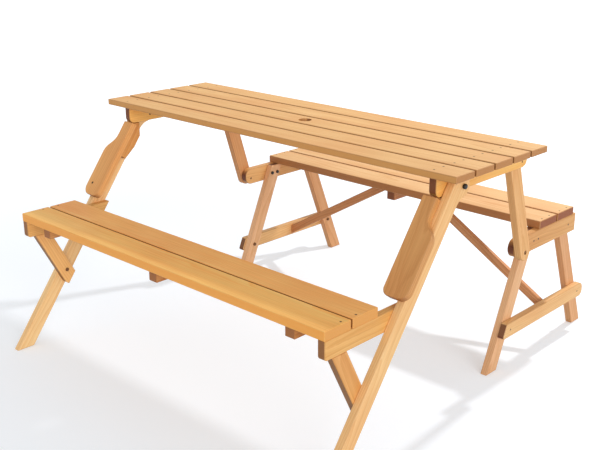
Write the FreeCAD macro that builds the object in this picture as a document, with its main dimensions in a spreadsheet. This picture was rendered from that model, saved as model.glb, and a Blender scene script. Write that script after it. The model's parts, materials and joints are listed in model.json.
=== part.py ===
import FreeCAD, Part
import math
import os
import re
import Sketcher
from FreeCAD import Placement, Rotation, Vector

# A folding garden set of softwood: a slatted table between two benches. Its front bench hangs on two
# sloping bars from the table's battens, and the table stands on two legs that are pinned to the rear
# bench. Lifting the table's front edge turns it up into a backrest and brings the two seats together.
#
# Axes: X along the benches, Y from the front bench to the rear one, Z up. The origin is on the floor
# in the middle of the footprint. Places across the set are counted from the umbrella hole, and every
# piece is then moved by centre_y. Sizes are in millimetres, angles in degrees.

SIZES = (
    # table top and the frame under it
    ("table_long", 1380),          # length of the slats
    ("table_high", 730),           # floor to the top of the slats
    ("slat_count", 5),
    ("slat_wide", 78),
    ("slat_thick", 18),
    ("slat_gap", 8),
    ("umbrella_bore", 40),
    ("end_overhang", 44.8),        # slat end to the outer face of a bar
    ("batten_high", 54),
    ("batten_lead", 16),           # front edge of the top to the batten's front end
    ("batten_tail", 18),           # batten's rear end beyond the rear edge of the top
    ("table_leg_wide", 50),
    ("table_leg_lean", 17.5),
    # boards and the gaps between the layers that pass one another
    ("stock", 22),                 # thickness of every frame board
    ("side_gap", 1.6),
    ("eased_edge", 1.5),
    # the two hinge lines
    ("lower_pivot_y", 296),
    ("lower_pivot_drop", 36),      # underside of the rear planks to the hinge line
    ("upper_pivot_y", -112),
    ("upper_pivot_drop", 34),      # underside of the slats to the hinge line
    ("pivot_edge", 26),            # hinge line to the front end of a rear rail
    # both seats
    ("rear_seat_high", 441),
    ("seat_step", 1),              # the front seat is this much higher, to pass over the rear rails
    ("seat_join_gap", 7),          # between the two seats when they are folded together
    ("plank_thick", 25),
    ("rear_plank_wide", 98),
    ("rear_plank_gap", 8),
    ("front_plank_wide", 91),
    ("front_plank_gap", 6),
    ("front_seat_back", -410),     # rear edge of the front seat
    # rear bench frame
    ("rear_rail_high", 57),
    ("rail_overhang", 17),         # rail end beyond the rear edge of the rear seat
    ("seat_leg_wide", 48),
    ("front_leg_lead", 30.4),      # top of the front leg ahead of the rear seat's front edge
    ("front_leg_lean", 23.5),
    ("rear_leg_inset", 63.4),      # top of the rear leg ahead of the rear seat's rear edge
    ("rear_leg_lean", 21.8),
    ("stretcher_low", 108),
    ("stretcher_high", 46),
    ("stretcher_nose", 9),         # stretcher ends beyond the legs
    ("brace_wide", 28),
    ("brace_thick", 15),
    ("brace_back", 521),           # rear face of the braces
    ("brace_foot", 112),           # height of a brace's lower edge at the stretcher
    ("brace_clear", 18),           # top ends of the braces clear of the rear tie
    ("tie_wide", 32),              # short battens under the seats
    ("tie_high", 30),
    ("tie_inset", 9),              # their ends inside the edges of the seat
    # front bench frame
    ("bar_lean", 53.6),            # bars to the floor
    ("bar_wide", 46),
    ("pivot_depth", 38.3),         # hinge line behind the front edge of a bar
    ("head_round", 29),            # rounded bar head about the hinge line
    ("front_rail_high", 50),
    ("rail_setback", 1),           # front rail behind the front edge of the seat
    ("strut_wide", 46),
    ("strut_inset", 52),           # middle of a strut under the rail, behind the seat's front edge
    ("strut_tail", 26),            # rear edge of a strut below its bolt
    ("strut_nick", 6),             # its lower tip is cut off by this much of the width
    ("strut_bolt_off", 2),         # bolt behind the middle line of the strut
    ("strut_bolt_up", 294.5),      # bolt along the bar from its foot
    ("strut_bolt_depth", 14),
    ("tie_clear", 9.5),            # outer ties clear of the rear bench's legs
    # arm boards on the bars
    ("arm_thick", 22),
    ("arm_wide", 74),
    ("arm_neck", 41),              # width of the narrow upper part
    ("arm_inset", 38.2),           # inner edge of the board inside the bar's inner face
    ("arm_top", 62),               # upper and lower end, down the bar from the hinge line
    ("arm_end", 329),
    ("arm_curve_from", 126),
    ("arm_curve_to", 163),
    ("block_gap", 2),              # block below the batten
    ("block_step", 44),            # its upper rear corner ahead of the hinge line
    ("block_waist", 122),          # where it starts to taper and its lower end, down from the hinge line
    ("block_end", 172),
    ("block_deep", 42),            # its depth above the waist and at the lower end
    ("block_toe", 30),
    # bolts, nuts and washers
    ("pivot_radius", 4),
    ("bolt_radius", 3),
    ("bolt_clear", 0.06),          # radial clearance of a bolt in its hole
    ("seat_clear", 0.3),           # under heads and beside washers that turn
    ("head_radius", 7),            # heads of the upper hinge bolts
    ("head_thick", 9),
    ("sunk_radius", 5.5),          # heads of the lower hinge bolts, sunk in the table legs
    ("sunk_thick", 4),
    ("bore_deep", 6),
    ("screw_deep", 16),            # screw holes in the inner faces of the bars
    ("bolt_head_radius", 6),
    ("bolt_head_thick", 2.5),
    ("nut_radius", 6.5),
    ("nut_thick", 5),
    ("washer_radius", 10),
)

# Places that follow from the sizes.
PLACES = (
    ("slat_under", "table_high - slat_thick"),
    ("upper_pivot_z", "slat_under - upper_pivot_drop"),
    ("table_front", "-(slat_count * slat_wide + (slat_count - 1) * slat_gap) / 2"),
    ("batten_front", "table_front + batten_lead"),
    ("batten_back", "batten_tail - table_front"),
    ("batten_under", "slat_under - batten_high"),
    # inner faces of the layers of boards, from the bars inwards
    ("bar_in", "table_long / 2 - end_overhang - stock"),
    ("front_rail_in", "bar_in - stock"),
    ("batten_in", "front_rail_in - side_gap"),
    ("table_leg_in", "batten_in - stock"),
    ("rail_in", "table_leg_in - side_gap - stock"),
    ("leg_in", "rail_in - stock"),
    # rear seat
    ("rear_plank_under", "rear_seat_high - plank_thick"),
    ("rear_rail_under", "rear_plank_under - rear_rail_high"),
    ("lower_pivot_z", "rear_plank_under - lower_pivot_drop"),
    ("rear_seat_front", "front_seat_back + 2 * (lower_pivot_y - upper_pivot_y) + seat_join_gap"),
    ("rear_seat_back", "rear_seat_front + 2 * rear_plank_wide + rear_plank_gap"),
    ("rear_rail_front", "lower_pivot_y - pivot_edge"),
    ("rear_rail_back", "rear_seat_back + rail_overhang"),
    ("front_leg_flat", "seat_leg_wide / cos(front_leg_lean)"),
    ("front_leg_foot", "rear_seat_front - front_leg_lead - rear_plank_under * tan(front_leg_lean)"),
    ("rear_leg_flat", "seat_leg_wide / cos(rear_leg_lean)"),
    ("rear_leg_foot", "rear_seat_back - rear_leg_inset + rear_plank_under * tan(rear_leg_lean)"),
    ("stretcher_top", "stretcher_low + stretcher_high"),
    ("stretcher_mid", "stretcher_low + stretcher_high / 2"),
    ("rail_mid", "rear_rail_under + rear_rail_high / 2"),
    ("brace_tip", "tie_wide / 2 + brace_clear"),
    ("brace_lean", "atan((rear_plank_under - brace_foot) / (rail_in - brace_tip))"),
    # front seat
    ("front_seat_high", "rear_seat_high + seat_step"),
    ("front_plank_under", "front_seat_high - plank_thick"),
    ("front_seat_front", "front_seat_back - 2 * front_plank_wide - front_plank_gap"),
    ("front_rail_under", "front_plank_under - front_rail_high"),
    ("front_rail_mid", "front_plank_under - front_rail_high / 2"),
    ("bar_foot", "upper_pivot_y - pivot_depth * sin(bar_lean)"
                 " - (upper_pivot_z + pivot_depth * cos(bar_lean)) / tan(bar_lean)"),
    ("bar_pivot", "(upper_pivot_y - bar_foot) * cos(bar_lean) + upper_pivot_z * sin(bar_lean)"),
    ("bar_flat", "bar_wide / sin(bar_lean)"),
    ("bar_top", "upper_pivot_z + head_round"),
    ("strut_bolt_y", "bar_foot + strut_bolt_up * cos(bar_lean) + strut_bolt_depth * sin(bar_lean)"),
    ("strut_bolt_z", "strut_bolt_up * sin(bar_lean) - strut_bolt_depth * cos(bar_lean)"),
    ("strut_head_y", "front_seat_front + strut_inset"),
    ("strut_run", "strut_bolt_y - strut_head_y"),
    ("strut_fall", "front_rail_under - strut_bolt_z"),
    ("strut_span", "sqrt(strut_run * strut_run + strut_fall * strut_fall)"),
    ("strut_lean", "atan2(strut_fall; strut_run) + asin(strut_bolt_off / strut_span)"),
    ("strut_along", "sqrt(strut_span * strut_span - strut_bolt_off * strut_bolt_off)"),
    ("rail_bolt_y", "bar_foot + front_rail_mid / tan(bar_lean) + bar_flat / 2"),
    ("outer_tie", "leg_in - tie_clear - tie_wide / 2"),
    ("centre_y", "-(bar_foot + rear_leg_foot + rear_leg_flat) / 2"),
)

doc = FreeCAD.newDocument("picnic_table_bench")
sheet = doc.addObject("Spreadsheet::Sheet", "Sizes")
places = doc.addObject("App::VarSet", "Places")
kept = []


def full(text):
    """The expression with each size and place named in full."""
    def owner(word):
        if word.group() in dict(SIZES):
            return "Sizes." + word.group()
        if word.group() in dict(PLACES):
            return "Places." + word.group()
        return word.group()
    return re.sub(r"[a-z_]+", owner, text)


def value(name):
    """The number that a size or a place has now."""
    return float(getattr(sheet if name in dict(SIZES) else places, name))


def fill_sheet():
    for row, (name, size) in enumerate(SIZES, 1):
        sheet.set("A%d" % row, name)
        sheet.set("B%d" % row, str(size))
        sheet.setAlias("B%d" % row, name)
    doc.recompute()
    for name, text in PLACES:
        places.addProperty("App::PropertyFloat", name)
        places.setExpression(name, full(text))
        doc.recompute()


def keep(label, thing):
    thing.Label = label
    kept.append(thing)
    return thing


def mirrored(label, source):
    """The same piece on the other side."""
    other = doc.addObject("Part::Mirroring", label)
    other.Source = source
    other.Normal = Vector(1, 0, 0)
    return keep(label, other)


def both_sides(name, source):
    keep(name + "_right", source)
    mirrored(name + "_left", source)


def new_body(name):
    body = doc.addObject("PartDesign::Body", name)
    place(body, "0", "0", "0")
    return body


def place(item, across, along, up):
    """Where a piece stands, counted from the floor under the umbrella hole."""
    item.setExpression("Placement.Base.x", full(across))
    item.setExpression("Placement.Base.y", full(along + " + centre_y"))
    item.setExpression("Placement.Base.z", full(up))


def new_sketch(body, name, role, lift="0"):
    sketch = body.newObject("Sketcher::SketchObject", body.Name + "_" + name)
    plane = [item for item in body.Origin.OriginFeatures if item.Role == role][0]
    sketch.AttachmentSupport = [(plane, "")]
    sketch.MapMode = "FlatFace"
    sketch.setExpression("AttachmentOffset.Base.z", full(lift))
    return sketch


def pin_point(sketch, item, end, across, up):
    """Two distances from the sketch's origin hold one point."""
    for kind, text in (("DistanceX", across), ("DistanceY", up)):
        index = sketch.addConstraint(Sketcher.Constraint(kind, -1, 1, item, end, 1.0))
        sketch.setExpression("Constraints[%d]" % index, full(text))


def outline(body, name, role, corners, lift="0"):
    """A closed outline of straight lines through corners given as pairs of expressions."""
    sketch = new_sketch(body, name, role, lift)
    count = len(corners)
    ring = [Vector(math.cos(2 * math.pi * i / count), math.sin(2 * math.pi * i / count), 0)
            for i in range(count)]
    for i in range(count):
        sketch.addGeometry(Part.LineSegment(ring[i], ring[(i + 1) % count]), False)
    for i in range(count):
        sketch.addConstraint(Sketcher.Constraint("Coincident", i, 2, (i + 1) % count, 1))
    for i, (across, up) in enumerate(corners):
        pin_point(sketch, i, 1, across, up)
    return sketch


def circles(body, name, role, radius, centres, lift="0"):
    sketch = new_sketch(body, name, role, lift)
    for i, (across, up) in enumerate(centres):
        sketch.addGeometry(Part.Circle(Vector(10 * i, 0, 0), Vector(0, 0, 1), 1.0), False)
        index = sketch.addConstraint(Sketcher.Constraint("Radius", i, 1.0))
        sketch.setExpression("Constraints[%d]" % index, full(radius))
        pin_point(sketch, i, 3, across, up)
    return sketch


def pad(body, sketch, length, centred=False):
    feature = body.newObject("PartDesign::Pad", sketch.Name + "_pad")
    feature.Profile = sketch
    feature.setExpression("Length", full(length))
    if centred:
        feature.SideType = "Symmetric"
    doc.recompute()
    return feature


def drill(body, name, radius, centres, role="YZ_Plane"):
    """Holes right through the board."""
    before = body.Shape.Volume
    cut = body.newObject("PartDesign::Pocket", body.Name + "_" + name)
    cut.Profile = circles(body, name + "_sketch", role, radius, centres)
    cut.Type = "ThroughAll"
    cut.SideType = "Symmetric"
    doc.recompute()
    if body.Shape.Volume >= before:
        raise RuntimeError("nothing was drilled in " + body.Name)


def sink(body, name, radius, deep, centres, face):
    """Flat recesses in the face at that height over the sketch plane, cut back towards the plane."""
    before = body.Shape.Volume
    cut = body.newObject("PartDesign::Pocket", body.Name + "_" + name)
    cut.Profile = circles(body, name + "_sketch", "YZ_Plane", radius, centres, face)
    cut.setExpression("Length", full(deep))
    doc.recompute()
    if body.Shape.Volume >= before:
        raise RuntimeError("nothing was sunk in " + body.Name)


def edges_at(shape, axis, points, slack=0.05):
    """Names of the straight edges along one axis that stand at the given points of the cross plane."""
    names = []
    for number, edge in enumerate(shape.Edges, 1):
        ends = [vertex.Point for vertex in edge.Vertexes]
        if len(ends) != 2:
            continue
        flat = [[end[i] for i in range(3) if i != axis] for end in ends]
        if math.dist(flat[0], flat[1]) > slack:
            continue
        if any(math.dist(flat[0], point) < slack for point in points):
            names.append("Edge%d" % number)
    return names


def round_corners(body, name, axis, sketch, radius, corners):
    """Rounds of one radius on the corners of a sketch, which are counted from nought."""
    tip = body.Tip
    points = [tuple(sketch.getPoint(i, 1))[:2] for i in corners]
    names = edges_at(tip.Shape, axis, points)
    if len(names) != len(corners):
        raise RuntimeError("%s: %d of %d corners found" % (body.Name, len(names), len(corners)))
    feature = body.newObject("PartDesign::Fillet", body.Name + "_" + name)
    feature.Base = (tip, names)
    feature.setExpression("Radius", full(radius))
    doc.recompute()
    return feature


def ease_faces(body, axis):
    """The eased edge round both broad faces of a board, leaving out the rims of its holes."""
    tip = body.Tip
    shape = tip.Shape
    low = shape.BoundBox.Center
    names = []
    for face in shape.Faces:
        normal = face.normalAt(0, 0)
        if not isinstance(face.Surface, Part.Plane) or abs(normal[axis]) < 0.999:
            continue
        if abs(face.CenterOfMass[axis] - low[axis]) < 0.4 * (shape.BoundBox.XLength, shape.BoundBox.YLength,
                                                             shape.BoundBox.ZLength)[axis]:
            continue
        for edge in face.OuterWire.Edges:
            for number, other in enumerate(shape.Edges, 1):
                if other.isSame(edge):
                    names.append("Edge%d" % number)
    feature = body.newObject("PartDesign::Chamfer", body.Name + "_eased")
    feature.Base = (tip, sorted(set(names)))
    feature.setExpression("Size", full("eased_edge"))
    doc.recompute()
    return feature


def ease_all(body):
    tip = body.Tip
    feature = body.newObject("PartDesign::Chamfer", body.Name + "_eased")
    feature.Base = (tip, ["Edge%d" % (i + 1) for i in range(len(tip.Shape.Edges))])
    feature.setExpression("Size", full("eased_edge"))
    doc.recompute()
    return feature


def side_board(name, inner, corners):
    """A board of the common stock that lies in one of the side layers, drawn from the side."""
    body = new_body(name)
    sketch = outline(body, "outline", "YZ_Plane", corners)
    pad(body, sketch, "stock")
    place(body, inner, "0", "0")
    return body, sketch


def long_board(name, front, back, under, top, length):
    """A slat or plank along the benches, centred on them."""
    body = new_body(name)
    corners = ((front, under), (back, under), (back, top), (front, top))
    pad(body, outline(body, "section", "YZ_Plane", corners), length, centred=True)
    return body


def rod(name, radius, start, length, across, up):
    """A plain round along X, from the start given."""
    item = doc.addObject("Part::Cylinder", name)
    item.Placement = Placement(Vector(), Rotation(Vector(0, 1, 0), 90))
    item.setExpression("Radius", full(radius))
    item.setExpression("Height", full(length))
    place(item, start, across, up)
    return item


def hex_nut(name, start, across, up):
    item = doc.addObject("Part::Prism", name)
    item.Polygon = 6
    item.Placement = Placement(Vector(), Rotation(Vector(0, 1, 0), 90))
    item.setExpression("Circumradius", full("nut_radius"))
    item.setExpression("Height", full("nut_thick"))
    place(item, start, across, up)
    return item


def joined(name, items):
    fused = doc.addObject("Part::MultiFuse", name)
    fused.Shapes = items
    return fused


def fastener_group(label, items):
    """One node for all fasteners of a kind, on both sides."""
    right = doc.addObject("Part::Compound", label + "_one_side")
    right.Links = items
    left = doc.addObject("Part::Mirroring", label + "_other_side")
    left.Source = right
    left.Normal = Vector(1, 0, 0)
    group = doc.addObject("Part::Compound", label)
    group.Links = [right, left]
    return keep(label, group)


def table_slats():
    """Five slats; the middle one has the umbrella hole."""
    count = int(value("slat_count"))
    for i in range(count):
        front = "table_front + %d * (slat_wide + slat_gap)" % i
        slat = long_board("table_slat_%d" % (i + 1), front, front + " + slat_wide",
                          "slat_under", "table_high", "table_long")
        ease_all(slat)
        if i == count // 2:
            drill(slat, "umbrella_hole", "umbrella_bore / 2", (("0", "0"),), "XY_Plane")
        keep(slat.Name, slat)


def table_battens():
    """The battens under the slat ends, rounded below at both ends."""
    corners = (("batten_front", "batten_under"), ("batten_back", "batten_under"),
               ("batten_back", "slat_under"), ("batten_front", "slat_under"))
    body, sketch = side_board("table_batten", "batten_in", corners)
    round_corners(body, "front_round", 0, sketch, "batten_high * 0.35", (0,))
    round_corners(body, "rear_round", 0, sketch, "batten_high * 0.4", (1,))
    ease_faces(body, 0)
    drill(body, "pivot_hole", "pivot_radius + bolt_clear", (("upper_pivot_y", "upper_pivot_z"),))
    drill(body, "leg_holes", "bolt_radius + bolt_clear", table_leg_bolt_places())
    both_sides("table_batten", body)


def table_leg_bolt_places():
    """Two bolts on the leg's middle line, within the height of the batten."""
    places_found = []
    for share in ("0.3", "0.7"):
        up = "batten_under + batten_high * " + share
        across = "lower_pivot_y - (%s - lower_pivot_z) * tan(table_leg_lean)" % up
        places_found.append((across, up))
    return places_found


def table_legs():
    """The leaning legs: rounded about the lower hinge, fixed inside the battens at the top."""
    body = new_body("table_leg")
    half = "table_leg_wide / 2"
    reach = "(slat_under - lower_pivot_z) / cos(table_leg_lean)"
    slant = half + " * tan(table_leg_lean)"
    corners = (("-" + half, "-" + half), (half, "-" + half),
               (half, reach + " - " + slant), ("-" + half, reach + " + " + slant))
    sketch = outline(body, "outline", "YZ_Plane", corners)
    pad(body, sketch, "stock")
    round_corners(body, "foot_round", 0, sketch, half + " - 0.2", (0, 1))
    ease_faces(body, 0)
    drill(body, "pivot_hole", "pivot_radius + bolt_clear", (("0", "0"),))
    sink(body, "head_recess", "sunk_radius + 1", "bore_deep", (("0", "0"),), "stock")
    bolts = []
    for share in ("0.3", "0.7"):
        bolts.append(("0", "(batten_under + batten_high * %s - lower_pivot_z) / cos(table_leg_lean)" % share))
    drill(body, "batten_holes", "bolt_radius + bolt_clear", bolts)
    body.Placement = Placement(Vector(), Rotation(Vector(1, 0, 0), 1))
    body.setExpression("Placement.Rotation.Angle", full("table_leg_lean"))
    place(body, "table_leg_in", "lower_pivot_y", "lower_pivot_z")
    both_sides("table_leg", body)


def rear_planks():
    for i, name in enumerate(("rear_plank_front", "rear_plank_back")):
        front = "rear_seat_front + %d * (rear_plank_wide + rear_plank_gap)" % i
        plank = long_board(name, front, front + " + rear_plank_wide",
                           "rear_plank_under", "rear_seat_high", "2 * (rail_in + stock)")
        ease_all(plank)
        keep(name, plank)


def seat_leg_bolt_places():
    """Two bolts through each front leg and one through each rear leg, level with the rail."""
    middle = "front_leg_foot + rail_mid * tan(front_leg_lean) + front_leg_flat / 2"
    rear = "rear_leg_foot - rail_mid * tan(rear_leg_lean) + rear_leg_flat / 2"
    return ((middle + " - 13", "rail_mid"), (middle + " + 13", "rail_mid"), (rear, "rail_mid"))


def stretcher_bolt_places():
    front = "front_leg_foot + stretcher_mid * tan(front_leg_lean) + front_leg_flat / 2"
    rear = "rear_leg_foot - stretcher_mid * tan(rear_leg_lean) + rear_leg_flat / 2"
    return ((front, "stretcher_mid"), (rear, "stretcher_mid"))


def rear_rails():
    """Rails on the outside of the seat legs, rounded in front about the lower hinge."""
    corners = (("rear_rail_front", "rear_rail_under"), ("rear_rail_back", "rear_rail_under"),
               ("rear_rail_back", "rear_plank_under"), ("rear_rail_front", "rear_plank_under"))
    body, sketch = side_board("rear_rail", "rail_in", corners)
    round_corners(body, "nose", 0, sketch, "rear_rail_high / 2 - 0.3", (0, 3))
    ease_faces(body, 0)
    drill(body, "pivot_hole", "pivot_radius + bolt_clear", (("lower_pivot_y", "lower_pivot_z"),))
    drill(body, "leg_holes", "bolt_radius + bolt_clear", seat_leg_bolt_places())
    both_sides("rear_rail", body)


def seat_legs():
    """Two legs at each end of the rear bench, spread apart towards the floor."""
    top = "rear_plank_under - 1"
    lean = "%s * tan(front_leg_lean)" % top.join("()")
    corners = (("front_leg_foot", "0"), ("front_leg_foot + front_leg_flat", "0"),
               ("front_leg_foot + front_leg_flat + " + lean, top), ("front_leg_foot + " + lean, top))
    body, sketch = side_board("seat_front_leg", "leg_in", corners)
    ease_faces(body, 0)
    bolts = seat_leg_bolt_places()
    drill(body, "bolt_holes", "bolt_radius + bolt_clear", bolts[:2] + stretcher_bolt_places()[:1])
    both_sides("seat_front_leg", body)
    lean = "%s * tan(rear_leg_lean)" % top.join("()")
    corners = (("rear_leg_foot", "0"), ("rear_leg_foot + rear_leg_flat", "0"),
               ("rear_leg_foot + rear_leg_flat - " + lean, top), ("rear_leg_foot - " + lean, top))
    body, sketch = side_board("seat_rear_leg", "leg_in", corners)
    ease_faces(body, 0)
    drill(body, "bolt_holes", "bolt_radius + bolt_clear", bolts[2:] + stretcher_bolt_places()[1:])
    both_sides("seat_rear_leg", body)


def stretchers():
    """Low boards across the outside of the seat legs, cut to the front leg's slope and round behind."""
    low_front = "front_leg_foot + stretcher_low * tan(front_leg_lean) - stretcher_nose / 2"
    top_front = "front_leg_foot + stretcher_top * tan(front_leg_lean) - stretcher_nose / 2"
    back = "rear_leg_foot + rear_leg_flat - stretcher_mid * tan(rear_leg_lean) + stretcher_nose"
    corners = ((low_front, "stretcher_low"), (back, "stretcher_low"),
               (back, "stretcher_top"), (top_front, "stretcher_top"))
    body, sketch = side_board("stretcher", "rail_in", corners)
    round_corners(body, "rear_round", 0, sketch, "stretcher_high * 0.42", (1, 2))
    round_corners(body, "front_round", 0, sketch, "stretcher_high * 0.15", (0, 3))
    ease_faces(body, 0)
    drill(body, "bolt_holes", "bolt_radius + bolt_clear", stretcher_bolt_places())
    both_sides("stretcher", body)


def seat_braces():
    """Diagonals from the stretchers up to the middle of the rear seat."""
    body = new_body("seat_brace")
    corners = (("rail_in", "brace_foot"), ("rail_in", "brace_foot + brace_wide / cos(brace_lean)"),
               ("brace_tip + brace_wide / sin(brace_lean)", "rear_plank_under"),
               ("brace_tip", "rear_plank_under"))
    sketch = outline(body, "outline", "XZ_Plane", corners)
    pad(body, sketch, "brace_thick")
    ease_faces(body, 1)
    place(body, "0", "brace_back", "0")
    both_sides("seat_brace", body)


def rear_tie():
    """The short batten under the middle of the rear planks."""
    body = new_body("rear_tie")
    front, back = "rear_seat_front + tie_inset", "rear_seat_back - tie_inset"
    corners = ((front, "rear_plank_under - tie_high"), (back, "rear_plank_under - tie_high"),
               (back, "rear_plank_under"), (front, "rear_plank_under"))
    pad(body, outline(body, "section", "YZ_Plane", corners), "tie_wide", centred=True)
    ease_all(body)
    keep("rear_tie", body)


def front_planks():
    for i, name in enumerate(("front_plank_front", "front_plank_back")):
        front = "front_seat_front + %d * (front_plank_wide + front_plank_gap)" % i
        plank = long_board(name, front, front + " + front_plank_wide",
                           "front_plank_under", "front_seat_high", "2 * bar_in")
        ease_all(plank)
        keep(name, plank)


def rail_bolt_places():
    return (("rail_bolt_y - 13", "front_rail_mid"), ("rail_bolt_y + 13", "front_rail_mid"))


def front_rails():
    """Rails under the plank ends, cut off behind along the bars' rear edge."""
    rear_low = "bar_foot + bar_flat + front_rail_under / tan(bar_lean)"
    rear_top = "bar_foot + bar_flat + front_plank_under / tan(bar_lean)"
    front = "front_seat_front + rail_setback"
    corners = ((front, "front_rail_under"), (rear_low, "front_rail_under"),
               (rear_top, "front_plank_under"), (front, "front_plank_under"))
    body, sketch = side_board("front_rail", "front_rail_in", corners)
    round_corners(body, "nose", 0, sketch, "10", (0,))
    ease_faces(body, 0)
    drill(body, "bar_holes", "bolt_radius + bolt_clear", rail_bolt_places())
    both_sides("front_rail", body)


def set_on_bar(body, inner):
    """The frame of a bar: its origin is at the front of the foot, Z runs up the bar, Y goes into it."""
    body.Placement = Placement(Vector(), Rotation(Vector(1, 0, 0), 1))
    body.setExpression("Placement.Rotation.Angle", full("bar_lean - 90"))
    place(body, inner, "bar_foot", "0")


def bar_local(across, up):
    """Depth into the bar and place along it of a point seen from the side."""
    depth = "(%s - bar_foot) * sin(bar_lean) - (%s) * cos(bar_lean)" % (across, up)
    along = "(%s - bar_foot) * cos(bar_lean) + (%s) * sin(bar_lean)" % (across, up)
    return depth, along


def bars():
    """The long sloping legs of the front bench, with a round head on the upper hinge."""
    body = new_body("bar")
    corners = (("0", "0"), ("bar_wide", "bar_wide / tan(bar_lean)"), ("bar_wide", "bar_pivot"),
               ("pivot_depth - head_round * cos(bar_lean)", "bar_pivot + head_round * sin(bar_lean)"),
               ("0", "bar_top / sin(bar_lean)"))
    pad(body, outline(body, "outline", "YZ_Plane", corners), "stock")
    pad(body, circles(body, "head", "YZ_Plane", "head_round", (("pivot_depth", "bar_pivot"),)), "stock")
    below = math.sqrt(value("head_round") ** 2 - (value("bar_wide") - value("pivot_depth")) ** 2)
    tip = body.Tip
    nape = body.newObject("PartDesign::Fillet", "bar_nape")
    nape.Base = (tip, edges_at(tip.Shape, 0, ((value("bar_wide"), value("bar_pivot") - below),)))
    nape.setExpression("Radius", full("head_round * 2"))
    doc.recompute()
    ease_faces(body, 0)
    drill(body, "pivot_hole", "pivot_radius + bolt_clear", (("pivot_depth", "bar_pivot"),))
    holes = [("strut_bolt_depth", "strut_bolt_up")]
    holes += [bar_local(across, up) for across, up in rail_bolt_places()]
    sink(body, "screw_holes", "bolt_radius + bolt_clear", "screw_deep", holes, "screw_deep")
    set_on_bar(body, "bar_in")
    both_sides("bar", body)


def struts():
    """Short struts from under the rails down to the bars, cut off below along the bars' rear edge."""
    body = new_body("strut")
    half = "strut_wide / 2"
    slant = half + " / tan(strut_lean)"
    end = "-strut_along - strut_tail"
    tip = end + " - (strut_wide - strut_nick) * tan(bar_lean + strut_lean - 90)"
    nick = tip + " + strut_nick / tan(bar_lean + strut_lean - 90)"
    corners = (("-" + half, nick), ("strut_nick - " + half, tip), (half, end), (half, "-" + slant),
               ("-" + half, slant))
    pad(body, outline(body, "outline", "YZ_Plane", corners), "stock")
    ease_faces(body, 0)
    drill(body, "bolt_hole", "bolt_radius + bolt_clear", (("strut_bolt_off", "-strut_along"),))
    body.Placement = Placement(Vector(), Rotation(Vector(1, 0, 0), 1))
    body.setExpression("Placement.Rotation.Angle", full("90 - strut_lean"))
    place(body, "front_rail_in", "strut_head_y", "front_rail_under")
    both_sides("strut", body)


def arm_boards():
    """Shaped boards on the front edges of the bars: narrow above, an S-curve out to full width."""
    body = new_body("arm_board")
    low, top = "bar_pivot - arm_end", "bar_pivot - arm_top"
    corners = (("0", low), ("arm_wide", low), ("arm_wide", "bar_pivot - arm_curve_to"),
               ("arm_neck", "bar_pivot - arm_curve_from"), ("arm_neck", top), ("0", top))
    sketch = outline(body, "outline", "XZ_Plane", corners)
    pad(body, sketch, "arm_thick")
    round_corners(body, "s_curve", 1, sketch, "arm_wide * 0.6", (2, 3))
    round_corners(body, "outer_round", 1, sketch, "arm_wide * 0.38", (1,))
    round_corners(body, "inner_round", 1, sketch, "arm_wide * 0.27", (0,))
    ease_faces(body, 1)
    set_on_bar(body, "bar_in - arm_inset")
    both_sides("arm_board", body)


def arm_blocks():
    """Blocks inside the bars behind the arm boards, cut off above to pass below the battens."""
    body = new_body("arm_block")
    waist, end = "bar_pivot - block_waist", "bar_pivot - block_end"
    rear, top = "(upper_pivot_y - block_step)", "(batten_under - block_gap)"
    shoulder = "(%s - bar_foot - block_deep * sin(bar_lean)) / cos(bar_lean)" % rear
    corners = (("0", end), ("block_toe", end), ("block_deep", waist), ("block_deep", shoulder),
               bar_local(rear, top), ("0", top + " / sin(bar_lean)"))
    sketch = outline(body, "outline", "YZ_Plane", corners)
    pad(body, sketch, "stock")
    round_corners(body, "waist", 0, sketch, "block_deep / 2", (2,))
    ease_faces(body, 0)
    set_on_bar(body, "front_rail_in")
    both_sides("arm_block", body)


def front_ties():
    """Three short battens across the underside of the front planks."""
    body = new_body("front_tie")
    front, back = "front_seat_front + tie_inset", "front_seat_back - tie_inset"
    corners = ((front, "front_plank_under - tie_high"), (back, "front_plank_under - tie_high"),
               (back, "front_plank_under"), (front, "front_plank_under"))
    pad(body, outline(body, "section", "YZ_Plane", corners), "tie_wide", centred=True)
    ease_all(body)
    keep("front_tie_middle", body)
    outer = new_body("outer_tie")
    pad(outer, outline(outer, "section", "YZ_Plane", corners), "tie_wide", centred=True)
    ease_all(outer)
    place(outer, "outer_tie", "0", "0")
    both_sides("front_tie", outer)


def pivot_bolt(name, across, up, inner, face, radius, thick):
    """A hinge bolt, flush on the inner face, with its head standing on the outer face."""
    return joined(name, [
        rod(name + "_shank", "pivot_radius", inner, "(%s) - (%s)" % (face, inner), across, up),
        rod(name + "_head", radius, face, thick, across, up)])


def hinge_bolts():
    """Hinge bolts and the washers that keep the boards apart."""
    lower = ("lower_pivot_y", "lower_pivot_z")
    upper = ("upper_pivot_y", "upper_pivot_z")
    recess = "table_leg_in + stock - bore_deep + seat_clear"
    bolt = pivot_bolt("lower_bolt", *lower, "rail_in", recess, "sunk_radius", "sunk_thick")
    fastener_group("lower_hinge_bolts", [bolt])
    outside = "bar_in + stock"
    bolt = pivot_bolt("upper_bolt", *upper, "batten_in", outside, "head_radius", "head_thick")
    fastener_group("upper_hinge_bolts", [bolt])
    for name, place, start in (("lower", lower, "rail_in + stock"), ("upper", upper, "batten_in + stock")):
        ring = doc.addObject("Part::Cut", name + "_washer")
        width = "side_gap - 2 * seat_clear"
        ring.Base = rod(name + "_washer_disc", "washer_radius", start + " + seat_clear", width, *place)
        ring.Tool = rod(name + "_washer_hole", "pivot_radius + bolt_clear", start, "side_gap", *place)
        fastener_group(name + "_hinge_washers", [ring])


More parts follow.
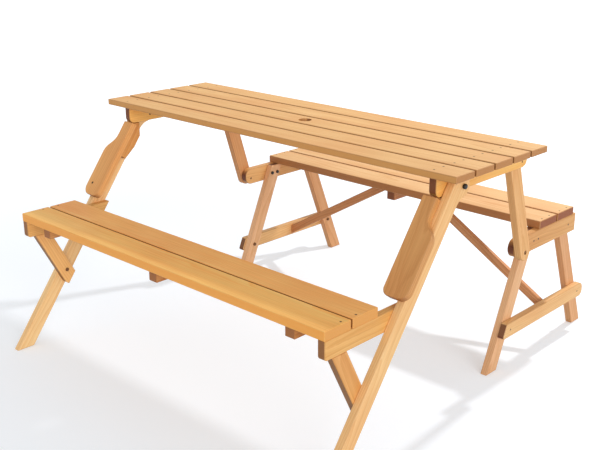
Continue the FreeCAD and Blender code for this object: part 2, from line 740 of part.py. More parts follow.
def frame_bolt(name, across, up, inner, outer):
    """The round shank of a bolt in two boards."""
    return rod(name + "_shank", "bolt_radius", inner, "(%s) - (%s)" % (outer, inner), across, up)


def nutted_bolt(name, across, up, inner, outer):
    """A bolt through two boards, flush outside, with its nut on the inner face."""
    nut = hex_nut(name + "_nut", inner + " - nut_thick", across, up)
    return joined(name, [frame_bolt(name, across, up, inner, outer), nut])


def bolts():
    for label, places, kind, inner, outer in (
            ("seat_leg_bolts", seat_leg_bolt_places(), nutted_bolt, "leg_in", "rail_in + stock"),
            ("stretcher_bolts", stretcher_bolt_places(), nutted_bolt, "leg_in", "rail_in + stock"),
            ("table_leg_bolts", table_leg_bolt_places(), frame_bolt, "table_leg_in", "batten_in + stock")):
        items = [kind("%s_%d" % (label, i), *at, inner, outer) for i, at in enumerate(places, 1)]
        fastener_group(label, items)
    layers = ("front_rail_in", "bar_in + screw_deep - seat_clear")
    items = [frame_bolt("rail_bolt_%d" % i, *at, *layers) for i, at in enumerate(rail_bolt_places(), 1)]
    at = ("strut_bolt_y", "strut_bolt_z")
    head = rod("strut_bolt_head", "bolt_head_radius", "front_rail_in - bolt_head_thick",
               "bolt_head_thick", *at)
    items.append(joined("strut_bolt", [frame_bolt("strut_bolt", *at, *layers), head]))
    fastener_group("bar_bolts", items)


def check_all():
    doc.recompute()
    for item in doc.Objects:
        if "Invalid" in item.State or "Error" in item.State:
            raise RuntimeError("%s failed: %s" % (item.Name, item.State))
    for item in kept:
        if item.Shape.isNull() or not item.Shape.isValid():
            raise RuntimeError("%s has no valid shape" % item.Label)


def write_all():
    os.makedirs("parts", exist_ok=True)
    for item in kept:
        item.Shape.exportStep("parts/%s.step" % item.Label)
        print("%-22s %2d solids %9.0f mm3" % (item.Label, len(item.Shape.Solids), item.Shape.Volume))


fill_sheet()
table_slats()
table_battens()
table_legs()
rear_planks()
rear_rails()
seat_legs()
stretchers()
seat_braces()
rear_tie()
front_planks()
front_rails()
bars()
struts()
arm_boards()
arm_blocks()
front_ties()
hinge_bolts()
bolts()
check_all()
write_all()
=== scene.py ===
import json
import math
import random

import bmesh
import bpy
from mathutils import Matrix, Vector

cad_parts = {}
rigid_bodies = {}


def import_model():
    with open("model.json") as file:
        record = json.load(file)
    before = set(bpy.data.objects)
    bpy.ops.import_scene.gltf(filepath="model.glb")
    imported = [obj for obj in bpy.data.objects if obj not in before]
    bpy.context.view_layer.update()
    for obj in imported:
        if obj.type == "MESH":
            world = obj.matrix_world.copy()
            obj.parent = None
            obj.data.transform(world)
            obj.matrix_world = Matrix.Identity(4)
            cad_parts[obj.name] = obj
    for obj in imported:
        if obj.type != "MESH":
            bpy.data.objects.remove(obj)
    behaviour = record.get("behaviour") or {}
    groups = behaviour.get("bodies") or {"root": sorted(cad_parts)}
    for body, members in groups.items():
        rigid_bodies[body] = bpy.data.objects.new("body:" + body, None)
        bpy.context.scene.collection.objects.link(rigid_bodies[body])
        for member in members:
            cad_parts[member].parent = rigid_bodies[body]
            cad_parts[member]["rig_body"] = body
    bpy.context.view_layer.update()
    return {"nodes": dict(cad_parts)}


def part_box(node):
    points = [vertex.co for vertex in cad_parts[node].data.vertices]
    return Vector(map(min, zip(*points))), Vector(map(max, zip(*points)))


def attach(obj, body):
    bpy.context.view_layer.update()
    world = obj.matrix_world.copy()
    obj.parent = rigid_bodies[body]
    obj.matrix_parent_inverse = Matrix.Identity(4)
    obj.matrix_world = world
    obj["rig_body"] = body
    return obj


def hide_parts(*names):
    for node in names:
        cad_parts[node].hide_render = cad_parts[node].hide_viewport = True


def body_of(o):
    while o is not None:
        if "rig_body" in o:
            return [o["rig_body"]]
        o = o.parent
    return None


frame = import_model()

# Frame boards of the rear bench: rails, four spread legs, stretchers, diagonal braces and the short
# batten under the seat. They are planed fir, 22 mm thick and the braces 15 mm, oiled to a warm honey
# colour, and bolted or screwed together. Each has its own run of grain, along its length.


def paint(text):
    """A colour written as sRGB hex, as the linear values that shaders take."""
    parts = [int(text[i:i + 2], 16) / 255 for i in (0, 2, 4)]
    return tuple(c / 12.92 if c <= 0.04045 else ((c + 0.055) / 1.055) ** 2.4 for c in parts) + (1.0,)


def between(first, second, share):
    """A hex colour part of the way from one to another."""
    pairs = [(int(first[i:i + 2], 16), int(second[i:i + 2], 16)) for i in (0, 2, 4)]
    return "%02x%02x%02x" % tuple(round(a * (1 - share) + b * share) for a, b in pairs)


def bare_tree(owner):
    """The node tree of a new material or world, emptied."""
    owner.use_nodes = True
    owner.node_tree.nodes.clear()
    return owner.node_tree


def add(tree, kind, inputs=(), **settings):
    """One node, with its settings and what feeds or fills its sockets."""
    node = tree.nodes.new(kind)
    for name, setting in settings.items():
        setattr(node, name, setting)
    for socket, source in dict(inputs).items():
        sources = source if isinstance(source, list) else [source]
        for each in sources:
            if isinstance(each, bpy.types.NodeSocket):
                tree.links.new(each, node.inputs[socket])
            else:
                node.inputs[socket].default_value = each
    return node


def bands(ramp, stops):
    """The stops of a colour ramp, as pairs of place and hex colour."""
    strip = ramp.color_ramp
    while len(strip.elements) < len(stops):
        strip.elements.new(0.5)
    for element, (place, text) in zip(strip.elements, stops):
        element.position = place
        element.color = paint(text)


def middle_of(node):
    """The middle of a node's box."""
    low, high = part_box(node)
    return tuple((low + high) / 2)


def size_of(node, order=(0, 1, 2)):
    """The lengths of a board that lies square: along its run, across it and through it."""
    low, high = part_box(node)
    return tuple((high - low)[i] for i in order)


# the sockets of a node that maps one range of values to another
span = ("Value", "From Min", "From Max", "To Min", "To Max")
# redder oil patches, knots, and the painted shade along a board's corners
redder_oil, knot_tone, corner_shade_tone = "f6e0d0", "8a4f22", "9a6030"
# how far in from its sides, in metres, the painted shade along a square board's corners is darkest and gone
corner_outer, corner_inner = 0.0008, 0.0035


def oiled_fir(node, along, face, pale, deep, end, flank=None, size=None, worn=0.3, seed=None):
    """Planed fir under oil: to the eye, long brown lines on a honey ground, with a satin shine.

    The grain runs along the board, and its broad face looks the way given. Pale is the wood between its
    growth rings, deep the rings, end its sawn ends, and flank its narrow long sides where they differ,
    mostly painted darker as the shade in a gap or under another part.
    A board that lies square gives its size, and is painted darker a little way in from its corners, as
    shade.
    Edge shade is how far the corners are darkened with painted shade.
    """
    rng = random.Random(seed or node)
    material = bpy.data.materials.new("oiled_fir_" + node)
    tree = bare_tree(material)
    run = Vector(along).normalized()
    out = Vector(face).normalized()
    side = out.cross(run)
    turn = Matrix((run, side, out)).transposed().to_euler()
    place = add(tree, "ShaderNodeTexCoord")
    board = add(tree, "ShaderNodeMapping", {
        "Vector": place.outputs["Object"], "Location": middle_of(node), "Rotation": turn},
        vector_type="TEXTURE").outputs[0]

    # growth rings 5 to 8 mm apart about a heart 20 to 60 mm off the board's middle: cut nearly along,
    # they show as long lines, which waver by up to 10 mm
    waver, ring_scale = 0.055, (38, 58)
    sway = add(tree, "ShaderNodeMapping", {
        "Vector": board, "Location": (rng.uniform(0, 9), 0, 0), "Scale": (1.7, 9, 9)})
    sway = add(tree, "ShaderNodeTexNoise", {"Vector": sway.outputs[0], "Scale": 1.0, "Detail": 2.0})
    shift = add(tree, "ShaderNodeVectorMath", {0: sway.outputs["Color"], 1: (0.5, 0.5, 0.5)},
                operation="SUBTRACT")
    shift = add(tree, "ShaderNodeVectorMath", {0: shift.outputs[0], 1: (0, waver, waver)},
                operation="MULTIPLY")
    heart = (0, rng.uniform(-0.05, 0.05), rng.choice((-1, 1)) * rng.uniform(0.02, 0.06))
    bent = add(tree, "ShaderNodeVectorMath", {0: board, 1: shift.outputs[0]}, operation="ADD")
    bent = add(tree, "ShaderNodeVectorMath", {0: bent.outputs[0], 1: heart}, operation="ADD")
    rings = add(tree, "ShaderNodeTexWave", {
        "Vector": bent.outputs[0], "Scale": rng.uniform(*ring_scale), "Distortion": 0.6, "Detail": 2.0,
        "Detail Scale": 1.5}, wave_type="RINGS", rings_direction="X", wave_profile="SAW")
    tint = add(tree, "ShaderNodeValToRGB", {"Fac": rings.outputs["Fac"]})
    bands(tint, ((0.0, pale), (0.55, between(pale, deep, 0.25)), (0.9, between(pale, deep, 0.75)),
                 (1.0, pale)))

    # broad darker streaks: 34 to the metre, 20 to 40 mm wide
    wide = add(tree, "ShaderNodeMapping", {
        "Vector": board, "Location": (0, rng.uniform(0, 9), 0), "Scale": (1.3, 34, 34)})
    wide = add(tree, "ShaderNodeTexNoise", {
        "Vector": wide.outputs[0], "Scale": 1.0, "Detail": 3.0, "Roughness": 0.6})
    wide = add(tree, "ShaderNodeMapRange", zip(span, (wide.outputs["Fac"], 0.35, 0.75, 0.0, 0.65)))
    colour = add(tree, "ShaderNodeMix", {
        "Factor": wide.outputs[0], "A": tint.outputs["Color"], "B": paint(deep)}, data_type="RGBA")

    # the oil took unevenly: patches 250 mm long and 140 mm wide, a little redder
    patch = add(tree, "ShaderNodeMapping", {
        "Vector": board, "Location": (rng.uniform(0, 9), 0, 0), "Scale": (4, 7, 7)})
    patch = add(tree, "ShaderNodeTexNoise", {"Vector": patch.outputs[0], "Scale": 1.0, "Detail": 1.0})
    patch = add(tree, "ShaderNodeMapRange", zip(span, (patch.outputs["Fac"], 0.4, 0.7, 0.0, 0.5)))
    colour = add(tree, "ShaderNodeMix", {
        "Factor": patch.outputs[0], "A": colour.outputs["Result"], "B": paint(redder_oil)},
        data_type="RGBA", blend_type="MULTIPLY")

    # fibres under 1 mm wide: drawn at 3 mm, 330 to the metre, as fine as shows from a step away
    fibre = add(tree, "ShaderNodeMapping", {"Vector": board, "Scale": (9, 330, 330)})
    fibre = add(tree, "ShaderNodeTexNoise", {"Vector": fibre.outputs[0], "Scale": 1.0, "Detail": 2.0})
    grain = add(tree, "ShaderNodeMapRange", zip(span, (fibre.outputs["Fac"], 0.3, 0.75, 1.03, 0.9)))
    colour = add(tree, "ShaderNodeVectorMath", {0: colour.outputs["Result"], "Scale": grain.outputs[0]},
                 operation="SCALE")

    # small pin knots: one in ten of the cells, which are 125 mm long and 77 mm wide, holds one
    cells = add(tree, "ShaderNodeMapping", {
        "Vector": board, "Location": (rng.uniform(0, 9), 0.3, 0), "Scale": (8, 13, 13)})
    cells = add(tree, "ShaderNodeTexVoronoi", {"Vector": cells.outputs[0], "Scale": 1.0})
    spot = add(tree, "ShaderNodeMapRange", zip(span, (cells.outputs["Distance"], 0.03, 0.1, 0.8, 0.0)))
    pick = add(tree, "ShaderNodeSeparateColor", {"Color": cells.outputs["Color"]})
    pick = add(tree, "ShaderNodeMath", {0: pick.outputs[0], 1: 0.9}, operation="GREATER_THAN")
    knot = add(tree, "ShaderNodeMath", {0: spot.outputs[0], 1: pick.outputs[0]}, operation="MULTIPLY")
    colour = add(tree, "ShaderNodeMix", {
        "Factor": knot.outputs[0], "A": colour.outputs[0], "B": paint(knot_tone)}, data_type="RGBA")

    # how squarely the surface faces along the board, sideways and out of its broad face
    faces = []
    for axis in (run, side, out):
        share = add(tree, "ShaderNodeVectorMath", {0: place.outputs["Normal"], 1: tuple(axis)},
                    operation="DOT_PRODUCT")
        share = add(tree, "ShaderNodeMath", {0: share.outputs["Value"]}, operation="ABSOLUTE")
        faces.append(share.outputs[0])
    # narrow long sides take their own tone, on most boards darker as painted shade
    if flank:
        thin = add(tree, "ShaderNodeMapRange", zip(span, (faces[1], 0.8, 0.95, 0.0, 0.85)))
        colour = add(tree, "ShaderNodeMix", {
            "Factor": thin.outputs[0], "A": colour.outputs["Result"], "B": paint(flank)}, data_type="RGBA")
    # end grain drinks more oil
    ends = add(tree, "ShaderNodeMapRange", zip(span, (faces[0], 0.6, 0.95, 0.0, 0.95)))
    colour = add(tree, "ShaderNodeMix", {
        "Factor": ends.outputs[0], "A": colour.outputs["Result"], "B": paint(end)}, data_type="RGBA")

    # painted shade along the corners: rounded corners face between two sides, and a square board's corners
    # are also found by distance
    squarest = add(tree, "ShaderNodeMath", {0: faces[0], 1: faces[1]}, operation="MAXIMUM")
    squarest = add(tree, "ShaderNodeMath", {0: squarest.outputs[0], 1: faces[2]}, operation="MAXIMUM")
    edge = add(tree, "ShaderNodeMapRange", zip(span, (squarest.outputs[0], 0.72, 0.92, worn, 0.0)))
    if size:
        apart = add(tree, "ShaderNodeSeparateXYZ", {"Vector": board})
        near = []
        for axis, length in enumerate(size):
            off = add(tree, "ShaderNodeMath", {0: apart.outputs[axis]}, operation="ABSOLUTE")
            off = add(tree, "ShaderNodeMapRange", zip(span, (
                off.outputs[0], length / 2 - corner_inner, length / 2 - corner_outer)))
            near.append(off.outputs[0])
        for first, second in ((0, 1), (1, 2), (0, 2)):
            both = add(tree, "ShaderNodeMath", {0: near[first], 1: near[second]}, operation="MINIMUM")
            both = add(tree, "ShaderNodeMath", {0: both.outputs[0], 1: worn}, operation="MULTIPLY")
            edge = add(tree, "ShaderNodeMath", {0: edge.outputs[0], 1: both.outputs[0]},
                       operation="MAXIMUM")
    colour = add(tree, "ShaderNodeMix", {
        "Factor": edge.outputs[0], "A": colour.outputs["Result"], "B": paint(corner_shade_tone)},
        data_type="RGBA")

    # the fibres stand about 0.1 mm proud of each other, and vary the shine
    sheen = add(tree, "ShaderNodeMapRange", zip(span, (fibre.outputs["Fac"], 0.3, 0.7, 0.46, 0.62)))
    relief = add(tree, "ShaderNodeBump", {
        "Height": fibre.outputs["Fac"], "Strength": 0.25, "Distance": 0.0004})
    shader = add(tree, "ShaderNodeBsdfPrincipled", {
        "Base Color": colour.outputs["Result"], "Roughness": sheen.outputs[0],
        "Normal": relief.outputs[0], "IOR": 1.45})
    add(tree, "ShaderNodeOutputMaterial", {"Surface": shader.outputs[0]})
    return material


def dress(node, along, face, pale, deep, end, **finish):
    """Gives a board of the frame its own oiled fir."""
    piece = frame["nodes"][node]
    piece.data.materials.clear()
    piece.data.materials.append(oiled_fir(node, along, face, pale, deep, end, **finish))


def leaning(degrees):
    """A direction in the side view, counted up from the rearward one."""
    return (0, math.cos(math.radians(degrees)), math.sin(math.radians(degrees)))


sideways, rearward, upward = (1, 0, 0), (0, 1, 0), (0, 0, 1)
front_leg_lean, rear_leg_lean = 66.5, 111.8
brace_reach, brace_rise = 0.863, 0.505
# the left front leg, on the far side, is given paler fir than the right one, as painted light
for side, sign, rail, front_leg in (("left", -1, ("ecb878", "d89a58"), ("f6c698", "e4ab76")),
                                    ("right", 1, ("e2ae6e", "cc9050"), ("edbe90", "daa16c"))):
    for part, along, face, tones in (
            ("rear_rail", rearward, sideways, rail),
            ("stretcher", rearward, sideways, ("f2c88c", "dfaa6a")),
            ("seat_front_leg", leaning(front_leg_lean), sideways, front_leg),
            ("seat_rear_leg", leaning(rear_leg_lean), sideways, ("e4ae7c", "ce905a")),
            ("seat_brace", (-sign * brace_reach, 0, brace_rise), rearward, ("dea573", "be7d4c"))):
        node = part + "_" + side
        dress(node, along, face, *tones, "602608",
              size=size_of(node, (1, 2, 0)) if along == rearward else None)
dress("rear_tie", rearward, upward, "cf9461", "ad6c3c", "7d4420", seed="tie",
      size=size_of("rear_tie", (1, 0, 2)))

# Rear seat: two planks of the same fir, 98 by 25 mm, laid over the rails with a gap for rain and screwed
# down. They are pale on top, their sawn ends have gone dark, and their long sides are painted dark as
# shade.
for node in ("rear_plank_front", "rear_plank_back"):
    dress(node, sideways, upward, "f4c891", "e4ac6d", "863e0c", flank="a5642f", size=size_of(node),
          worn=0.5)

# Table frame: a batten under each end of the slats, rounded at both ends, and a leaning leg bolted to its
# inner side, which turns on the lower hinge. Both are planed fir, 22 mm thick.
table_leg_lean = 107.5
# the left leg, on the far side, is given darker and redder fir than the right one, as painted shade
for side, tones in (("left", ("e0a671", "ce8d53")), ("right", ("eebd80", "dba05e"))):
    dress("table_batten_" + side, rearward, sideways, "fcc872", "f2b45c", "682f10")
    dress("table_leg_" + side, leaning(table_leg_lean), sideways, *tones, "7d4420")

# Table top: five slats of pale, straight fir, 78 by 18 mm, screwed to the battens with even gaps; the
# middle one is bored for a parasol pole. Their long sides are painted dark as the shade in the gaps, apart
# from the front slat's.
for i in range(1, 6):
    node = "table_slat_%d" % i
    dress(node, sideways, upward, "f2c281", "e0a968", "b47a42", flank="cd9450" if i == 1 else "7d4c22",
          size=size_of(node), worn=0.45)

# Front seat: two planks, 91 by 25 mm, of a warmer and more golden fir than the top, with one screw at
# each end. The long sides of the rear plank are painted dark as the shade in the gap between the planks.
for node, pale, deep, flank in (("front_plank_front", "ffd07a", "ffb458", "fdad50"),
                                ("front_plank_back", "ffc87a", "fba954", "7f4814")):
    dress(node, sideways, upward, pale, deep, "df9d51", flank=flank, worn=0.1)

# Front bench frame: rails under the plank ends, the long sloping bars, the struts from the rails down to
# the bars, and three short battens under the seat. All are planed fir, and the bars are bolted on from
# the inner side. The struts' narrow sides are painted dark as shade.
bar_lean, strut_lean = 53.6, 115.4
# the left bar and strut, on the far side, are given paler fir than the right ones, as painted light
for side, bar, strut in (("left", ("ffd99e", "f0bd7c"), ("fcc67f", "eaaa60")),
                         ("right", ("facf92", "eab371"), ("f1bd78", "dc9e58"))):
    for part, along, tones, flank in (("front_rail", rearward, ("f2bd74", "dda054"), None),
                                      ("bar", leaning(bar_lean), bar, None),
                                      ("strut", leaning(strut_lean), strut, "83552e")):
        node = part + "_" + side
        dress(node, along, sideways, *tones, "8f5c31", flank=flank, worn=0.15,
              size=size_of(node, (1, 2, 0)) if along == rearward else None)
for node in ("front_tie_left", "front_tie_middle", "front_tie_right"):
    dress(node, rearward, upward, "d69c5e", "b8763c", "a46735", size=size_of(node, (1, 0, 2)))

# Arm boards: shaped fir boards, 22 mm thick, screwed to the front edges of the bars, with a fir block
# behind the narrow upper end. Their faces look down and forward, and take little light.
across_bar = (0, -math.sin(math.radians(bar_lean)), math.cos(math.radians(bar_lean)))
for side, tones in (("left", ("f2b874", "dc9c58")), ("right", ("dca262", "c88a4c"))):
    dress("arm_board_" + side, leaning(bar_lean), across_bar, *tones, "a16736")
    dress("arm_block_" + side, leaning(bar_lean), sideways, "e4a75f", "c98440", "a16736")

# Bolts, nuts and washers: turned and pressed steel. The bolts of the upper hinges and of the seat legs are
# coated black, the others bronzed, and the washers between the turning boards are zinc plated. The outer
# corners of all of them are rounded over.


def coated_steel(name, text, metallic, rough):
    """Coated steel: to the eye one even tone, whose soft shine is a little mottled, drawn 2 mm wide."""
    mottle, darkest = 0.08, 0.7
    material = bpy.data.materials.new(name)
    tree = bare_tree(material)
    place = add(tree, "ShaderNodeTexCoord")
    coat = add(tree, "ShaderNodeTexNoise", {
        "Vector": place.outputs["Object"], "Scale": 500.0, "Detail": 2.0})
    gloss = add(tree, "ShaderNodeMapRange", {
        "Value": coat.outputs["Fac"], "To Min": rough - mottle, "To Max": rough + mottle})
    tone = add(tree, "ShaderNodeMix", {
        "Factor": coat.outputs["Fac"], "A": paint(text),
        "B": tuple(darkest * c for c in paint(text)[:3]) + (1.0,)}, data_type="RGBA")
    shader = add(tree, "ShaderNodeBsdfPrincipled", {
        "Base Color": tone.outputs["Result"], "Roughness": gloss.outputs[0], "Metallic": metallic})
    add(tree, "ShaderNodeOutputMaterial", {"Surface": shader.outputs[0]})
    return material


# a black coat, which hides the metal; zinc, which shows as plain grey metal; and a brown bronzed coat
black_coat = coated_steel("black_coated_steel", "17150f", 0.0, 0.42)
zinc_plate = coated_steel("zinc_plated_steel", "a9a9a2", 1.0, 0.38)
brown_coat = coated_steel("bronzed_bolt_steel", "7c5029", 0.3, 0.45)


def placed(name, data):
    """An object of the scene, made from its mesh, lamp or camera."""
    thing = bpy.data.objects.new(name, data)
    bpy.context.scene.collection.objects.link(thing)
    return thing


def eased(node, width, steps, finish, slot):
    """A copy of a node's turned and pressed parts with their outer corners rounded over."""
    source = frame["nodes"][node]
    form = bmesh.new()
    form.from_mesh(source.data)
    # points that touch, in metres, and angles between flat faces, at a corner and on a smooth face
    touching, flat, sharp, smooth = 0.00001, 0.01, 0.6, math.radians(35)
    bmesh.ops.remove_doubles(form, verts=form.verts, dist=touching)
    bmesh.ops.dissolve_limit(form, angle_limit=flat, verts=form.verts, edges=form.edges)
    corners = [edge for edge in form.edges
               if len(edge.link_faces) == 2 and edge.is_convex and edge.calc_face_angle() > sharp]
    bmesh.ops.bevel(form, geom=corners, offset=width, segments=steps, profile=0.5, affect="EDGES",
                    clamp_overlap=True)
    mesh = bpy.data.meshes.new(node + "_eased")
    form.to_mesh(mesh)
    form.free()
    for face in mesh.polygons:
        face.use_smooth = True
    mesh.set_sharp_from_angle(angle=smooth)
    mesh.materials.append(finish)
    piece = placed(node + "_eased", mesh)
    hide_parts(node)
    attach(piece, body_of(source)[0])


# how wide, and in how many steps, the corners are rounded: domed heads, plain heads and nuts, washers
domed, plain, thin = (0.003, 4), (0.0008, 2), (0.0002, 1)
eased("upper_hinge_bolts", *domed, black_coat, "black_bolt")
eased("seat_leg_bolts", *plain, black_coat, "black_bolt")
for node in ("lower_hinge_bolts", "stretcher_bolts", "table_leg_bolts", "bar_bolts"):
    eased(node, *plain, brown_coat, "black_bolt")
for node in ("lower_hinge_washers", "upper_hinge_washers"):
    eased(node, *thin, zinc_plate, "zinc_washer")

# Wood screws: bronzed steel, countersunk, with a cross recess, driven flush through the slats, planks and
# the left arm board into the frame. Their heads are all that shows, 6 mm wide and 9 mm in the arm board,
# and each stopped at its own turn. The shade in the cross recess is painted nearly black.


def screw_tree(finish):
    """Sets a screw head on each place, facing out of its board, and gives the inputs by name."""
    tree = bpy.data.node_groups.new("countersunk_screws", "GeometryNodeTree")
    inlets = {}
    for label, kind in (("Places", "Geometry"), ("Head Width", "Float"), ("Proud", "Float"),
                        ("Recess Width", "Float"), ("Seed", "Int")):
        inlets[label] = tree.interface.new_socket(label, in_out="INPUT", socket_type="NodeSocket" + kind)
    tree.interface.new_socket("Screws", in_out="OUTPUT", socket_type="NodeSocketGeometry")
    given = add(tree, "NodeGroupInput").outputs
    head_thick, cross_proud = 0.001, 0.000005
    half = add(tree, "ShaderNodeMath", {0: given["Head Width"], 1: 0.5}, operation="MULTIPLY")
    arm = add(tree, "ShaderNodeMath", {0: given["Head Width"], 1: 0.6}, operation="MULTIPLY")
    disc = add(tree, "GeometryNodeMeshCylinder", {
        "Vertices": 24, "Radius": half.outputs[0], "Depth": head_thick})
    sunk = add(tree, "ShaderNodeMath", {0: given["Proud"], 1: -head_thick / 2}, operation="ADD")
    drop = add(tree, "ShaderNodeCombineXYZ", {"Z": sunk.outputs[0]})
    disc = add(tree, "GeometryNodeTransform", {
        "Geometry": disc.outputs["Mesh"], "Translation": drop.outputs[0]})
    disc = add(tree, "GeometryNodeStoreNamedAttribute", {
        "Geometry": disc.outputs[0], "Name": "recess", "Value": 0.0}, data_type="FLOAT", domain="POINT")
    # two thin crossed bars, a hair above the head, stand for its cross recess and carry its painted shade
    lift = add(tree, "ShaderNodeMath", {0: sunk.outputs[0], 1: cross_proud}, operation="ADD")
    lift = add(tree, "ShaderNodeCombineXYZ", {"Z": lift.outputs[0]})
    bars = []
    for long, wide in ((arm.outputs[0], given["Recess Width"]), (given["Recess Width"], arm.outputs[0])):
        size = add(tree, "ShaderNodeCombineXYZ", {"X": long, "Y": wide, "Z": head_thick})
        bar = add(tree, "GeometryNodeMeshCube", {"Size": size.outputs[0]})
        bar = add(tree, "GeometryNodeTransform", {
            "Geometry": bar.outputs["Mesh"], "Translation": lift.outputs[0]})
        bars.append(bar.outputs[0])
    cross = add(tree, "GeometryNodeJoinGeometry", {"Geometry": bars})
    cross = add(tree, "GeometryNodeStoreNamedAttribute", {
        "Geometry": cross.outputs[0], "Name": "recess", "Value": 1.0}, data_type="FLOAT", domain="POINT")
    head = add(tree, "GeometryNodeJoinGeometry", {"Geometry": [disc.outputs[0], cross.outputs[0]]})
    outward = add(tree, "GeometryNodeInputNamedAttribute", {"Name": "outward"}, data_type="FLOAT_VECTOR")
    facing = add(tree, "FunctionNodeAlignRotationToVector", {"Vector": outward.outputs[0]}, axis="Z")
    spread = add(tree, "GeometryNodeInstanceOnPoints", {
        "Points": given["Places"], "Instance": head.outputs[0], "Rotation": facing.outputs[0]})
    spin = add(tree, "FunctionNodeRandomValue", {"Seed": given["Seed"]}, data_type="FLOAT")
    for socket in spin.inputs:
        if socket.enabled and socket.name == "Max":
            socket.default_value = math.pi
    spin = add(tree, "ShaderNodeCombineXYZ", {"Z": spin.outputs["Value"]})
    spread = add(tree, "GeometryNodeRotateInstances", {
        "Instances": spread.outputs[0], "Rotation": spin.outputs[0], "Local Space": True})
    spread = add(tree, "GeometryNodeRealizeInstances", {"Geometry": spread.outputs[0]})
    spread = add(tree, "GeometryNodeSetMaterial", {"Geometry": spread.outputs[0], "Material": finish})
    add(tree, "NodeGroupOutput", {"Screws": spread.outputs[0]})
    return tree, inlets


def grown(name, places, tree, settings):
    """A plain mesh of what a tree sets on the places, which are pairs of point and outward direction."""
    mesh = bpy.data.meshes.new(name + "_places")
    mesh.from_pydata([point for point, outward in places], [], [])
    store = mesh.attributes.new("outward", "FLOAT_VECTOR", "POINT")
    for i, (point, outward) in enumerate(places):
        store.data[i].vector = outward
    marks = placed(name + "_places", mesh)
    modifier = marks.modifiers.new("heads", "NODES")
    modifier.node_group = tree
    for identifier, setting in settings.items():
        modifier[identifier] = setting
    evaluated = marks.evaluated_get(bpy.context.evaluated_depsgraph_get())
    result = bpy.data.meshes.new_from_object(evaluated)
    result.name = name
    bpy.data.objects.remove(marks)
    return placed(name, result)


def bronzed_steel():
    """Bronzed steel screw heads: brown with a metal's shine, and painted nearly black in the cross recess,
    as its shade.
    """
    material = coated_steel("bronzed_screw_steel", "8f6a42", 0.6, 0.45)
    tree = material.node_tree
    shader = next(node for node in tree.nodes if node.type == "BSDF_PRINCIPLED")
    coat = shader.inputs["Base Color"].links[0].from_socket
    recess = add(tree, "ShaderNodeAttribute", attribute_name="recess")
    tone = add(tree, "ShaderNodeMix", {"Factor": recess.outputs["Fac"], "A": coat, "B": paint("120b06")},
               data_type="RGBA")
    tree.links.new(tone.outputs["Result"], shader.inputs["Base Color"])
    return material


screws, inlets = screw_tree(bronzed_steel())
# each row of screws: its group, the board that it goes through, the one that it goes into, and where its
# screws stand across the board
rows = [("table", "table_slat_%d" % i, "table_batten_right", (0.25, 0.75)) for i in range(1, 6)] + [
    ("rear_bench", "rear_plank_front", "rear_rail_right", (0.28, 0.72)),
    ("rear_bench", "rear_plank_back", "rear_rail_right", (0.28, 0.72)),
    ("front_bench", "front_plank_front", "front_rail_right", (0.73,)),
    ("front_bench", "front_plank_back", "front_rail_right", (0.25,))]
places = {"table": [], "rear_bench": [], "front_bench": []}
for sign in (-1, 1):
    for group, board, under, shares in rows:
        x = sign * abs(middle_of(under)[0])
        low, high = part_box(board)
        for share in shares:
            places[group].append(((x, low.y + share * (high.y - low.y), high.z), upward))
# the left arm board's screw is placed from the upper hinge, down along the bar and out to the board's
# face; the right arm board is screwed from behind
screw_down, bar_front, arm_board_thick = 0.289, 0.0383, 0.022
low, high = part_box("upper_hinge_bolts")
hinge = Vector((0, (low.y + high.y) / 2, (low.z + high.z) / 2))
point = hinge - screw_down * Vector(leaning(bar_lean)) + (bar_front + arm_board_thick) * Vector(across_bar)
point.x = middle_of("bar_left")[0]
places["arm_board"] = [(tuple(point), across_bar)]
small_head, large_head, head_proud, turn_seed = 0.006, 0.009, 0.00001, 7
for group, body, head_wide in (("table", "table", small_head), ("rear_bench", "rear_bench", small_head),
                               ("front_bench", "front_bench", small_head),
                               ("arm_board", "front_bench", large_head)):
    piece = grown(group + "_screws", places[group], screws, {
        inlets["Head Width"].identifier: head_wide, inlets["Proud"].identifier: head_proud,
        inlets["Recess Width"].identifier: head_wide / 5, inlets["Seed"].identifier: turn_seed})
    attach(piece, body)

# Studio: a pale floor that keeps a faint shadow near the object and fades to white away from it, white all
# round, one lamp close by, high behind, whose shadows spread forward, and a wide weak light from the
# right. The camera stands where the photograph was taken.
floor_size, floor_top = 60, -0.0005
bpy.ops.mesh.primitive_plane_add(size=floor_size, location=(0, 0, floor_top))
floor = bpy.context.object
floor.name = "studio_floor"
# pale matt floor: a soft grey in the light, lifted to near white for the camera, more so further out
near, far, near_lift, far_lift = 1.4, 3.6, 0.33, 0.6
pale_floor = bpy.data.materials.new("pale_floor")
tree = bare_tree(pale_floor)
ray = add(tree, "ShaderNodeLightPath")
seen = add(tree, "ShaderNodeMath", {0: ray.outputs["Is Camera Ray"], 1: ray.outputs["Is Glossy Ray"]},
           operation="MAXIMUM")
seen = add(tree, "ShaderNodeMath", {0: seen.outputs[0], 1: ray.outputs["Is Transmission Ray"]},
           operation="MAXIMUM")
place = add(tree, "ShaderNodeTexCoord")
away = add(tree, "ShaderNodeVectorMath", {0: place.outputs["Object"]}, operation="LENGTH")
away = add(tree, "ShaderNodeMapRange", zip(span, (away.outputs["Value"], near, far, near_lift, far_lift)),
           interpolation_type="SMOOTHSTEP")
lift = add(tree, "ShaderNodeMath", {0: seen.outputs[0], 1: away.outputs[0]}, operation="MULTIPLY")
tone = add(tree, "ShaderNodeMix", {"Factor": seen.outputs[0], "A": paint("c9cbce"), "B": paint("d8dee5")},
           data_type="RGBA")
matt = add(tree, "ShaderNodeBsdfDiffuse", {"Color": tone.outputs["Result"]})
glow = add(tree, "ShaderNodeEmission", {"Color": (1, 1, 1, 1), "Strength": lift.outputs[0]})
both = add(tree, "ShaderNodeAddShader", {0: matt.outputs[0], 1: glow.outputs[0]})
add(tree, "ShaderNodeOutputMaterial", {"Surface": both.outputs[0]})
floor.data.materials.append(pale_floor)

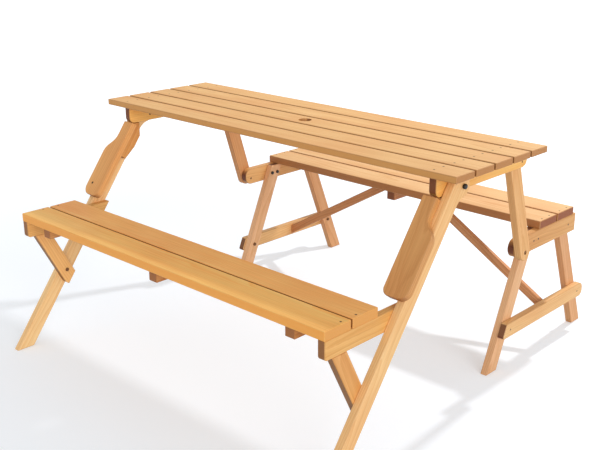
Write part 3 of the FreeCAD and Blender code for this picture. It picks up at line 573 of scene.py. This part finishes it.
# the room is white to the camera and through glass, and lights the object at a plain level
room_level, room_seen = 0.64, 1.0
world = bpy.data.worlds.new("white_room")
bpy.context.scene.world = world
tree = bare_tree(world)
ray = add(tree, "ShaderNodeLightPath")
seen = add(tree, "ShaderNodeMath", {0: ray.outputs["Is Camera Ray"], 1: ray.outputs["Is Transmission Ray"]},
           operation="MAXIMUM")
strength = add(tree, "ShaderNodeMapRange", {
    "Value": seen.outputs[0], "To Min": room_level, "To Max": room_seen})
sky = add(tree, "ShaderNodeBackground", {"Color": (1, 1, 1, 1), "Strength": strength.outputs[0]})
add(tree, "ShaderNodeOutputWorld", {"Surface": sky.outputs[0]})


def studio_sun(name, toward, spread, level):
    """Even light from one direction: its level is what a white surface facing it gives back."""
    data = bpy.data.lights.new(name, "SUN")
    data.angle = math.radians(spread)
    data.energy = level * math.pi
    lamp = placed(name, data)
    lamp.rotation_euler = Vector(toward).to_track_quat("Z", "Y").to_euler()


def studio_lamp(name, place, target, radius, level):
    """Light from one near lamp: its level is what a white surface at the target, facing it, gives back."""
    data = bpy.data.lights.new(name, "POINT")
    data.shadow_soft_size = radius
    data.energy = level * (2 * math.pi * (Vector(place) - Vector(target)).length) ** 2
    lamp = placed(name, data)
    lamp.location = place
    lamp.visible_camera = False


studio_lamp("high_back_lamp", place=(0.42, 2.03, 2.51), target=(0, 0, 0.73), radius=0.07, level=0.58)
studio_sun("side_light", toward=(0.88, -0.42, 0.22), spread=40, level=0.54)

# the camera, as it was fitted to the object's edges in the photograph, which is 600 pixels wide
photo_wide, focal_pixels, sensor_wide, photo_shift = 600, 947.97, 36.0, -0.0333
eye = (1.9029, -2.0681, 1.3386)
azimuth, elevation, roll = (math.radians(a) for a in (42.465, 18.728, 0.149))
cam_data = bpy.data.cameras.new("camera")
cam_data.sensor_width = sensor_wide
cam_data.lens = focal_pixels * sensor_wide / photo_wide
cam_data.shift_x = photo_shift
camera = placed("camera", cam_data)
back = Vector((math.sin(azimuth) * math.cos(elevation), -math.cos(azimuth) * math.cos(elevation),
               math.sin(elevation)))
right = Vector((math.cos(azimuth), math.sin(azimuth), 0))
up = back.cross(right)
level = Matrix((math.cos(roll) * right + math.sin(roll) * up,
                math.cos(roll) * up - math.sin(roll) * right, back)).transposed()
camera.matrix_world = Matrix.Translation(eye) @ level.to_4x4()
bpy.context.scene.camera = camera
bpy.context.scene.view_settings.view_transform = "Standard"
